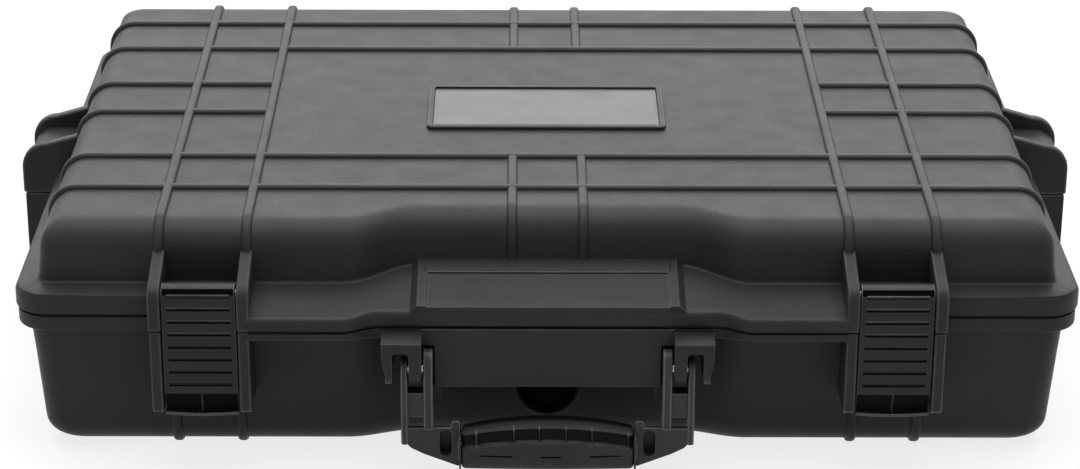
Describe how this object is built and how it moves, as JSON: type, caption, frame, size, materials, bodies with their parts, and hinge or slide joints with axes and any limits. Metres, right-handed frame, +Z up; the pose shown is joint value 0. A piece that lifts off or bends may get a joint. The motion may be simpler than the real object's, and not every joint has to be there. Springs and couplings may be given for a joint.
{
  "type": "hard tool case",
  "caption": "Moulded attache-style hard tool case with a hinged ribbed lid, lever latches, a folding front handle, a ring seal, a pressure valve and strap bars at the sides.",
  "frame": {"origin": "on the floor, in the middle of the overall box of the closed case with its handle hanging", "axes": "+X to the right along the front, +Y to the back where the hinges are, +Z up"},
  "size_m": [0.543, 0.3975, 0.119],
  "materials": {
    "shell_plastic": "fine moulded grain, satin sheen",
    "latch_plastic": "smooth moulded, satin",
    "plate_plastic": "smooth, matte",
    "handle_plastic": "smooth moulded, satin",
    "valve_plastic": "smooth moulded",
    "grip_rubber": "matte soft rubber",
    "seal_rubber": "matte",
    "foam": "open cell foam",
    "steel": "bright drawn pin"
  },
  "bodies": {
    "base": {"base_shell": "shell_plastic", "base_foam": "foam", "hinge_pin_left": "steel", "hinge_pin_right": "steel", "handle_pin_left": "steel", "handle_pin_right": "steel", "strap_bar_left": "steel", "strap_bar_right": "steel", "valve_body": "valve_plastic", "valve_nut": "valve_plastic", "valve_seal": "seal_rubber"},
    "lid": {"lid_shell": "shell_plastic", "lid_seal": "seal_rubber", "name_plate": "plate_plastic", "lid_foam": "foam", "latch_pin_left": "steel", "latch_pin_right": "steel"},
    "latch_left": {"latch_left": "latch_plastic"},
    "latch_right": {"latch_right": "latch_plastic"},
    "handle": {"handle_frame": "handle_plastic", "handle_grip": "grip_rubber"},
    "valve_knob": {"valve_knob": "valve_plastic"}
  },
  "joints": [
    {"name": "lid_hinge", "type": "hinge", "parent": "base", "child": "lid", "pos_m": [0, 0.19275, 0.0758], "axis": [-1, 0, 0], "range_deg": [0, 105]},
    {"name": "latch_left_hinge", "type": "hinge", "parent": "lid", "child": "latch_left", "pos_m": [-0.163, -0.17975, 0.093], "axis": [-1, 0, 0], "range_deg": [0, 110]},
    {"name": "latch_right_hinge", "type": "hinge", "parent": "lid", "child": "latch_right", "pos_m": [0.163, -0.17975, 0.093], "axis": [-1, 0, 0], "range_deg": [0, 110]},
    {"name": "handle_hinge", "type": "hinge", "parent": "base", "child": "handle", "pos_m": [0, -0.18375, 0.0565], "axis": [-1, 0, 0], "range_deg": [0, 115]},
    {"name": "valve_turn", "type": "hinge", "parent": "base", "child": "valve_knob", "pos_m": [0, -0.15125, 0.0323], "axis": [0, -1, 0], "range_deg": [0, 270]}
  ]
}
